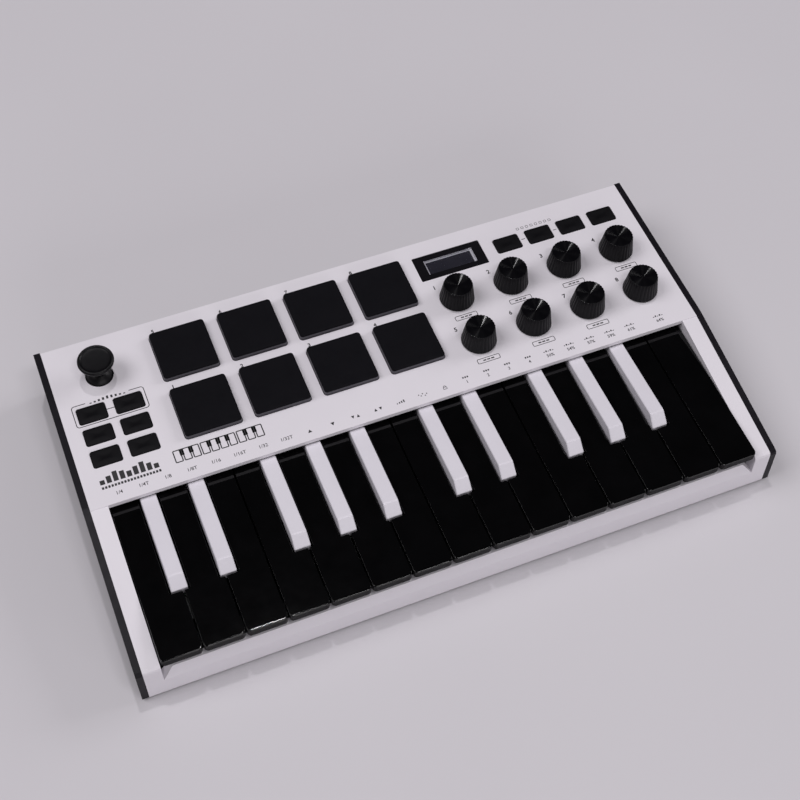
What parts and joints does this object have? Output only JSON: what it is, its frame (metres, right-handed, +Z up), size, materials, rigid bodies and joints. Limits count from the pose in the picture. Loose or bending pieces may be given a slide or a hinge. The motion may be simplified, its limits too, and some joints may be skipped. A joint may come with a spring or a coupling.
{
  "type": "midi keyboard",
  "caption": "Compact mini-key music controller: sprung black and white keys, square rubber pads, endless knobs, small buttons, a thumb stick and a screen window in a two-shell case.",
  "frame": {"origin": "on the table under the middle of the keyboard", "axes": "+X to the player's right along the keys, +Y away from the player, +Z up"},
  "size_m": [0.3174, 0.1738, 0.047],
  "materials": {
    "case_black": "fine matt texture",
    "case_white": "fine satin texture",
    "frame_plastic": "plain moulded",
    "board": "lacquered board",
    "window": "gloss",
    "steel": "zinc plated",
    "rubber": "matt",
    "gimbal": "plain moulded",
    "stick_rubber": "soft satin",
    "key_white": "satin",
    "key_black": "polished",
    "pad_rubber": "matt",
    "button_rubber": "satin",
    "knob_black": "satin"
  },
  "bodies": {
    "case": {"bottom_case": "case_black", "top_case": "case_white", "key_frame": "frame_plastic", "circuit_boards": "board", "screen_window": "window", "screws": "steel", "feet": "rubber"},
    "key_c1": {"key_c1": "key_black"},
    "key_cs1": {"key_cs1": "key_white"},
    "key_d1": {"key_d1": "key_black"},
    "key_ds1": {"key_ds1": "key_white"},
    "key_e1": {"key_e1": "key_black"},
    "key_f1": {"key_f1": "key_black"},
    "key_fs1": {"key_fs1": "key_white"},
    "key_g1": {"key_g1": "key_black"},
    "key_gs1": {"key_gs1": "key_white"},
    "key_a1": {"key_a1": "key_black"},
    "key_as1": {"key_as1": "key_white"},
    "key_b1": {"key_b1": "key_black"},
    "key_c2": {"key_c2": "key_black"},
    "key_cs2": {"key_cs2": "key_white"},
    "key_d2": {"key_d2": "key_black"},
    "key_ds2": {"key_ds2": "key_white"},
    "key_e2": {"key_e2": "key_black"},
    "key_f2": {"key_f2": "key_black"},
    "key_fs2": {"key_fs2": "key_white"},
    "key_g2": {"key_g2": "key_black"},
    "key_gs2": {"key_gs2": "key_white"},
    "key_a2": {"key_a2": "key_black"},
    "key_as2": {"key_as2": "key_white"},
    "key_b2": {"key_b2": "key_black"},
    "key_c3": {"key_c3": "key_black"},
    "pad_1": {"pad_1": "pad_rubber"},
    "pad_2": {"pad_2": "pad_rubber"},
    "pad_3": {"pad_3": "pad_rubber"},
    "pad_4": {"pad_4": "pad_rubber"},
    "pad_5": {"pad_5": "pad_rubber"},
    "pad_6": {"pad_6": "pad_rubber"},
    "pad_7": {"pad_7": "pad_rubber"},
    "pad_8": {"pad_8": "pad_rubber"},
    "button_left_1": {"button_left_1": "button_rubber"},
    "button_left_2": {"button_left_2": "button_rubber"},
    "button_left_3": {"button_left_3": "button_rubber"},
    "button_left_4": {"button_left_4": "button_rubber"},
    "button_left_5": {"button_left_5": "button_rubber"},
    "button_left_6": {"button_left_6": "button_rubber"},
    "button_top_1": {"button_top_1": "button_rubber"},
    "button_top_2": {"button_top_2": "button_rubber"},
    "button_top_3": {"button_top_3": "button_rubber"},
    "button_top_4": {"button_top_4": "button_rubber"},
    "knob_1": {"knob_1": "knob_black"},
    "knob_2": {"knob_2": "knob_black"},
    "knob_3": {"knob_3": "knob_black"},
    "knob_4": {"knob_4": "knob_black"},
    "knob_5": {"knob_5": "knob_black"},
    "knob_6": {"knob_6": "knob_black"},
    "knob_7": {"knob_7": "knob_black"},
    "knob_8": {"knob_8": "knob_black"},
    "gimbal": {"stick_gimbal": "gimbal"},
    "stick": {"joystick": "stick_rubber"}
  },
  "joints": [
    {"name": "key_c1_press", "type": "hinge", "parent": "case", "child": "key_c1", "pos_m": [-0.1372, 0.00208, 0.0203], "axis": [1, 0, 0], "range_deg": [0, 2.9], "stiffness_Nm_per_rad": 0.5, "springref_deg": -1.72},
    {"name": "key_cs1_press", "type": "hinge", "parent": "case", "child": "key_cs1", "pos_m": [-0.12895, 0.00208, 0.0203], "axis": [1, 0, 0], "range_deg": [0, 2.9], "stiffness_Nm_per_rad": 0.5, "springref_deg": -1.72},
    {"name": "key_d1_press", "type": "hinge", "parent": "case", "child": "key_d1", "pos_m": [-0.1176, 0.00208, 0.0203], "axis": [1, 0, 0], "range_deg": [0, 2.9], "stiffness_Nm_per_rad": 0.5, "springref_deg": -1.72},
    {"name": "key_ds1_press", "type": "hinge", "parent": "case", "child": "key_ds1", "pos_m": [-0.10625, 0.00208, 0.0203], "axis": [1, 0, 0], "range_deg": [0, 2.9], "stiffness_Nm_per_rad": 0.5, "springref_deg": -1.72},
    {"name": "key_e1_press", "type": "hinge", "parent": "case", "child": "key_e1", "pos_m": [-0.098, 0.00208, 0.0203], "axis": [1, 0, 0], "range_deg": [0, 2.9], "stiffness_Nm_per_rad": 0.5, "springref_deg": -1.72},
    {"name": "key_f1_press", "type": "hinge", "parent": "case", "child": "key_f1", "pos_m": [-0.0784, 0.00208, 0.0203], "axis": [1, 0, 0], "range_deg": [0, 2.9], "stiffness_Nm_per_rad": 0.5, "springref_deg": -1.72},
    {"name": "key_fs1_press", "type": "hinge", "parent": "case", "child": "key_fs1", "pos_m": [-0.07125, 0.00208, 0.0203], "axis": [1, 0, 0], "range_deg": [0, 2.9], "stiffness_Nm_per_rad": 0.5, "springref_deg": -1.72},
    {"name": "key_g1_press", "type": "hinge", "parent": "case", "child": "key_g1", "pos_m": [-0.0588, 0.00208, 0.0203], "axis": [1, 0, 0], "range_deg": [0, 2.9], "stiffness_Nm_per_rad": 0.5, "springref_deg": -1.72},
    {"name": "key_gs1_press", "type": "hinge", "parent": "case", "child": "key_gs1", "pos_m": [-0.049, 0.00208, 0.0203], "axis": [1, 0, 0], "range_deg": [0, 2.9], "stiffness_Nm_per_rad": 0.5, "springref_deg": -1.72},
    {"name": "key_a1_press", "type": "hinge", "parent": "case", "child": "key_a1", "pos_m": [-0.0392, 0.00208, 0.0203], "axis": [1, 0, 0], "range_deg": [0, 2.9], "stiffness_Nm_per_rad": 0.5, "springref_deg": -1.72},
    {"name": "key_as1_press", "type": "hinge", "parent": "case", "child": "key_as1", "pos_m": [-0.02675, 0.00208, 0.0203], "axis": [1, 0, 0], "range_deg": [0, 2.9], "stiffness_Nm_per_rad": 0.5, "springref_deg": -1.72},
    {"name": "key_b1_press", "type": "hinge", "parent": "case", "child": "key_b1", "pos_m": [-0.0196, 0.00208, 0.0203], "axis": [1, 0, 0], "range_deg": [0, 2.9], "stiffness_Nm_per_rad": 0.5, "springref_deg": -1.72},
    {"name": "key_c2_press", "type": "hinge", "parent": "case", "child": "key_c2", "pos_m": [0, 0.00208, 0.0203], "axis": [1, 0, 0], "range_deg": [0, 2.9], "stiffness_Nm_per_rad": 0.5, "springref_deg": -1.72},
    {"name": "key_cs2_press", "type": "hinge", "parent": "case", "child": "key_cs2", "pos_m": [0.00825, 0.00208, 0.0203], "axis": [1, 0, 0], "range_deg": [0, 2.9], "stiffness_Nm_per_rad": 0.5, "springref_deg": -1.72},
    {"name": "key_d2_press", "type": "hinge", "parent": "case", "child": "key_d2", "pos_m": [0.0196, 0.00208, 0.0203], "axis": [1, 0, 0], "range_deg": [0, 2.9], "stiffness_Nm_per_rad": 0.5, "springref_deg": -1.72},
    {"name": "key_ds2_press", "type": "hinge", "parent": "case", "child": "key_ds2", "pos_m": [0.03095, 0.00208, 0.0203], "axis": [1, 0, 0], "range_deg": [0, 2.9], "stiffness_Nm_per_rad": 0.5, "springref_deg": -1.72},
    {"name": "key_e2_press", "type": "hinge", "parent": "case", "child": "key_e2", "pos_m": [0.0392, 0.00208, 0.0203], "axis": [1, 0, 0], "range_deg": [0, 2.9], "stiffness_Nm_per_rad": 0.5, "springref_deg": -1.72},
    {"name": "key_f2_press", "type": "hinge", "parent": "case", "child": "key_f2", "pos_m": [0.0588, 0.00208, 0.0203], "axis": [1, 0, 0], "range_deg": [0, 2.9], "stiffness_Nm_per_rad": 0.5, "springref_deg": -1.72},
    {"name": "key_fs2_press", "type": "hinge", "parent": "case", "child": "key_fs2", "pos_m": [0.06595, 0.00208, 0.0203], "axis": [1, 0, 0], "range_deg": [0, 2.9], "stiffness_Nm_per_rad": 0.5, "springref_deg": -1.72},
    {"name": "key_g2_press", "type": "hinge", "parent": "case", "child": "key_g2", "pos_m": [0.0784, 0.00208, 0.0203], "axis": [1, 0, 0], "range_deg": [0, 2.9], "stiffness_Nm_per_rad": 0.5, "springref_deg": -1.72},
    {"name": "key_gs2_press", "type": "hinge", "parent": "case", "child": "key_gs2", "pos_m": [0.0882, 0.00208, 0.0203], "axis": [1, 0, 0], "range_deg": [0, 2.9], "stiffness_Nm_per_rad": 0.5, "springref_deg": -1.72},
    {"name": "key_a2_press", "type": "hinge", "parent": "case", "child": "key_a2", "pos_m": [0.098, 0.00208, 0.0203], "axis": [1, 0, 0], "range_deg": [0, 2.9], "stiffness_Nm_per_rad": 0.5, "springref_deg": -1.72},
    {"name": "key_as2_press", "type": "hinge", "parent": "case", "child": "key_as2", "pos_m": [0.11045, 0.00208, 0.0203], "axis": [1, 0, 0], "range_deg": [0, 2.9], "stiffness_Nm_per_rad": 0.5, "springref_deg": -1.72},
    {"name": "key_b2_press", "type": "hinge", "parent": "case", "child": "key_b2", "pos_m": [0.1176, 0.00208, 0.0203], "axis": [1, 0, 0], "range_deg": [0, 2.9], "stiffness_Nm_per_rad": 0.5, "springref_deg": -1.72},
    {"name": "key_c3_press", "type": "hinge", "parent": "case", "child": "key_c3", "pos_m": [0.1372, 0.00208, 0.0203], "axis": [1, 0, 0], "range_deg": [0, 2.9], "stiffness_Nm_per_rad": 0.5, "springref_deg": -1.72},
    {"name": "pad_1_press", "type": "slide", "parent": "case", "child": "pad_1", "axis": [0, 0, -1], "range_m": [0, 0.0008], "stiffness_N_per_m": 1200, "springref_m": -0.0005},
    {"name": "pad_2_press", "type": "slide", "parent": "case", "child": "pad_2", "axis": [0, 0, -1], "range_m": [0, 0.0008], "stiffness_N_per_m": 1200, "springref_m": -0.0005},
    {"name": "pad_3_press", "type": "slide", "parent": "case", "child": "pad_3", "axis": [0, 0, -1], "range_m": [0, 0.0008], "stiffness_N_per_m": 1200, "springref_m": -0.0005},
    {"name": "pad_4_press", "type": "slide", "parent": "case", "child": "pad_4", "axis": [0, 0, -1], "range_m": [0, 0.0008], "stiffness_N_per_m": 1200, "springref_m": -0.0005},
    {"name": "pad_5_press", "type": "slide", "parent": "case", "child": "pad_5", "axis": [0, 0, -1], "range_m": [0, 0.0008], "stiffness_N_per_m": 1200, "springref_m": -0.0005},
    {"name": "pad_6_press", "type": "slide", "parent": "case", "child": "pad_6", "axis": [0, 0, -1], "range_m": [0, 0.0008], "stiffness_N_per_m": 1200, "springref_m": -0.0005},
    {"name": "pad_7_press", "type": "slide", "parent": "case", "child": "pad_7", "axis": [0, 0, -1], "range_m": [0, 0.0008], "stiffness_N_per_m": 1200, "springref_m": -0.0005},
    {"name": "pad_8_press", "type": "slide", "parent": "case", "child": "pad_8", "axis": [0, 0, -1], "range_m": [0, 0.0008], "stiffness_N_per_m": 1200, "springref_m": -0.0005},
    {"name": "button_left_1_press", "type": "slide", "parent": "case", "child": "button_left_1", "axis": [0, 0, -1], "range_m": [0, 0.0005], "stiffness_N_per_m": 150, "springref_m": -0.001},
    {"name": "button_left_2_press", "type": "slide", "parent": "case", "child": "button_left_2", "axis": [0, 0, -1], "range_m": [0, 0.0005], "stiffness_N_per_m": 150, "springref_m": -0.001},
    {"name": "button_left_3_press", "type": "slide", "parent": "case", "child": "button_left_3", "axis": [0, 0, -1], "range_m": [0, 0.0005], "stiffness_N_per_m": 150, "springref_m": -0.001},
    {"name": "button_left_4_press", "type": "slide", "parent": "case", "child": "button_left_4", "axis": [0, 0, -1], "range_m": [0, 0.0005], "stiffness_N_per_m": 150, "springref_m": -0.001},
    {"name": "button_left_5_press", "type": "slide", "parent": "case", "child": "button_left_5", "axis": [0, 0, -1], "range_m": [0, 0.0005], "stiffness_N_per_m": 150, "springref_m": -0.001},
    {"name": "button_left_6_press", "type": "slide", "parent": "case", "child": "button_left_6", "axis": [0, 0, -1], "range_m": [0, 0.0005], "stiffness_N_per_m": 150, "springref_m": -0.001},
    {"name": "button_top_1_press", "type": "slide", "parent": "case", "child": "button_top_1", "axis": [0, 0, -1], "range_m": [0, 0.0005], "stiffness_N_per_m": 150, "springref_m": -0.001},
    {"name": "button_top_2_press", "type": "slide", "parent": "case", "child": "button_top_2", "axis": [0, 0, -1], "range_m": [0, 0.0005], "stiffness_N_per_m": 150, "springref_m": -0.001},
    {"name": "button_top_3_press", "type": "slide", "parent": "case", "child": "button_top_3", "axis": [0, 0, -1], "range_m": [0, 0.0005], "stiffness_N_per_m": 150, "springref_m": -0.001},
    {"name": "button_top_4_press", "type": "slide", "parent": "case", "child": "button_top_4", "axis": [0, 0, -1], "range_m": [0, 0.0005], "stiffness_N_per_m": 150, "springref_m": -0.001},
    {"name": "knob_1_turn", "type": "hinge", "parent": "case", "child": "knob_1", "pos_m": [0.04709, 0.04668, 0.0281], "axis": [0, 0, 1], "continuous": true},
    {"name": "knob_2_turn", "type": "hinge", "parent": "case", "child": "knob_2", "pos_m": [0.07679, 0.04668, 0.0281], "axis": [0, 0, 1], "continuous": true},
    {"name": "knob_3_turn", "type": "hinge", "parent": "case", "child": "knob_3", "pos_m": [0.10648, 0.04668, 0.0281], "axis": [0, 0, 1], "continuous": true},
    {"name": "knob_4_turn", "type": "hinge", "parent": "case", "child": "knob_4", "pos_m": [0.13619, 0.04668, 0.0281], "axis": [0, 0, 1], "continuous": true},
    {"name": "knob_5_turn", "type": "hinge", "parent": "case", "child": "knob_5", "pos_m": [0.04709, 0.01908, 0.0281], "axis": [0, 0, 1], "continuous": true},
    {"name": "knob_6_turn", "type": "hinge", "parent": "case", "child": "knob_6", "pos_m": [0.07679, 0.01908, 0.0281], "axis": [0, 0, 1], "continuous": true},
    {"name": "knob_7_turn", "type": "hinge", "parent": "case", "child": "knob_7", "pos_m": [0.10648, 0.01908, 0.0281], "axis": [0, 0, 1], "continuous": true},
    {"name": "knob_8_turn", "type": "hinge", "parent": "case", "child": "knob_8", "pos_m": [0.13619, 0.01908, 0.0281], "axis": [0, 0, 1], "continuous": true},
    {"name": "stick_pitch", "type": "hinge", "parent": "case", "child": "gimbal", "pos_m": [-0.132, 0.06442, 0.0312], "axis": [1, 0, 0], "range_deg": [-16, 16], "stiffness_Nm_per_rad": 0.02},
    {"name": "stick_roll", "type": "hinge", "parent": "gimbal", "child": "stick", "pos_m": [-0.132, 0.06442, 0.0312], "axis": [0, 1, 0], "range_deg": [-16, 16], "stiffness_Nm_per_rad": 0.02}
  ]
}
